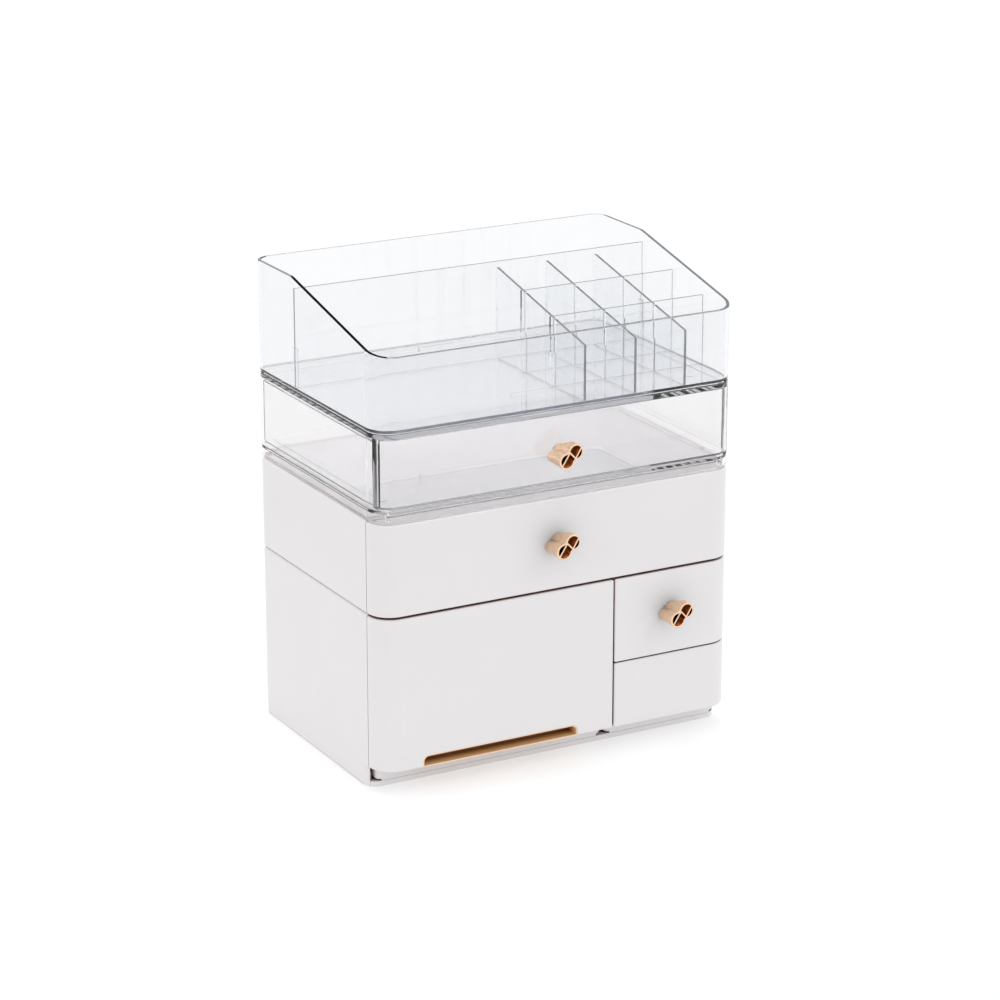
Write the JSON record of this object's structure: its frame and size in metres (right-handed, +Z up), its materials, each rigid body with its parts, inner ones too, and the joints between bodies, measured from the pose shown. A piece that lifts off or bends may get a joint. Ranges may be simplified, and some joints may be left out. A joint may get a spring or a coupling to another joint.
{
  "type": "stacked bathroom organizer with drawers",
  "caption": "Stacking vanity organizer: white drawer modules with rounded corners, a clear drawer module and a clear sloping tray with lift-out dividers.",
  "frame": {"origin": "centre of the footprint of the modules at the level of the surface that the base stands on", "axes": "+Z up, +Y to the back, so the drawers open towards -Y; +X to the right seen from the front"},
  "size_m": [0.3, 0.221, 0.36],
  "materials": {
    "white_plastic": "satin",
    "clear_plastic": "clear, polished",
    "gold": "rose gold plating",
    "screw_steel": "zinc plated"
  },
  "bodies": {
    "base": {"base_casing": "white_plastic", "base_floor": "white_plastic", "base_divider": "white_plastic", "base_shelf": "white_plastic"},
    "tall_drawer": {"tall_tub": "white_plastic", "tall_front": "white_plastic", "finger_pull": "gold"},
    "upper_small_drawer": {"upper_small_tub": "white_plastic", "upper_small_front": "white_plastic", "upper_small_knob": "gold", "upper_small_screw": "screw_steel"},
    "lower_small_drawer": {"lower_small_tub": "white_plastic", "lower_small_front": "white_plastic"},
    "middle_module": {"middle_casing": "white_plastic"},
    "middle_drawer": {"middle_tub": "white_plastic", "middle_front": "white_plastic", "middle_knob": "gold", "middle_screw": "screw_steel"},
    "clear_module": {"clear_casing": "clear_plastic"},
    "clear_slide_drawer": {"clear_drawer": "clear_plastic", "clear_knob": "gold", "clear_screw": "screw_steel"},
    "top_tray": {"tray": "clear_plastic"},
    "tray_partition": {"rear_partition": "clear_plastic"},
    "tray_grid": {"long_divider_1": "clear_plastic", "long_divider_2": "clear_plastic", "long_divider_3": "clear_plastic", "cross_divider_1": "clear_plastic", "cross_divider_2": "clear_plastic"}
  },
  "joints": [
    {"name": "tall_drawer_slide", "type": "slide", "parent": "base", "child": "tall_drawer", "axis": [0, -1, 0], "range_m": [0, 0.134]},
    {"name": "upper_small_drawer_slide", "type": "slide", "parent": "base", "child": "upper_small_drawer", "axis": [0, -1, 0], "range_m": [0, 0.134]},
    {"name": "lower_small_drawer_slide", "type": "slide", "parent": "base", "child": "lower_small_drawer", "axis": [0, -1, 0], "range_m": [0, 0.134]},
    {"name": "middle_module_lift", "type": "slide", "parent": "base", "child": "middle_module", "axis": [0, 0, 1], "range_m": [0, 0.05]},
    {"name": "middle_drawer_slide", "type": "slide", "parent": "middle_module", "child": "middle_drawer", "axis": [0, -1, 0], "range_m": [0, 0.142]},
    {"name": "clear_module_lift", "type": "slide", "parent": "middle_module", "child": "clear_module", "axis": [0, 0, 1], "range_m": [0, 0.05]},
    {"name": "clear_drawer_slide", "type": "slide", "parent": "clear_module", "child": "clear_slide_drawer", "axis": [0, -1, 0], "range_m": [0, 0.142]},
    {"name": "top_tray_lift", "type": "slide", "parent": "clear_module", "child": "top_tray", "axis": [0, 0, 1], "range_m": [0, 0.05]},
    {"name": "tray_partition_lift", "type": "slide", "parent": "top_tray", "child": "tray_partition", "axis": [0, 0, 1], "range_m": [0, 0.09]},
    {"name": "tray_grid_lift", "type": "slide", "parent": "top_tray", "child": "tray_grid", "axis": [0, 0, 1], "range_m": [0, 0.09]}
  ]
}
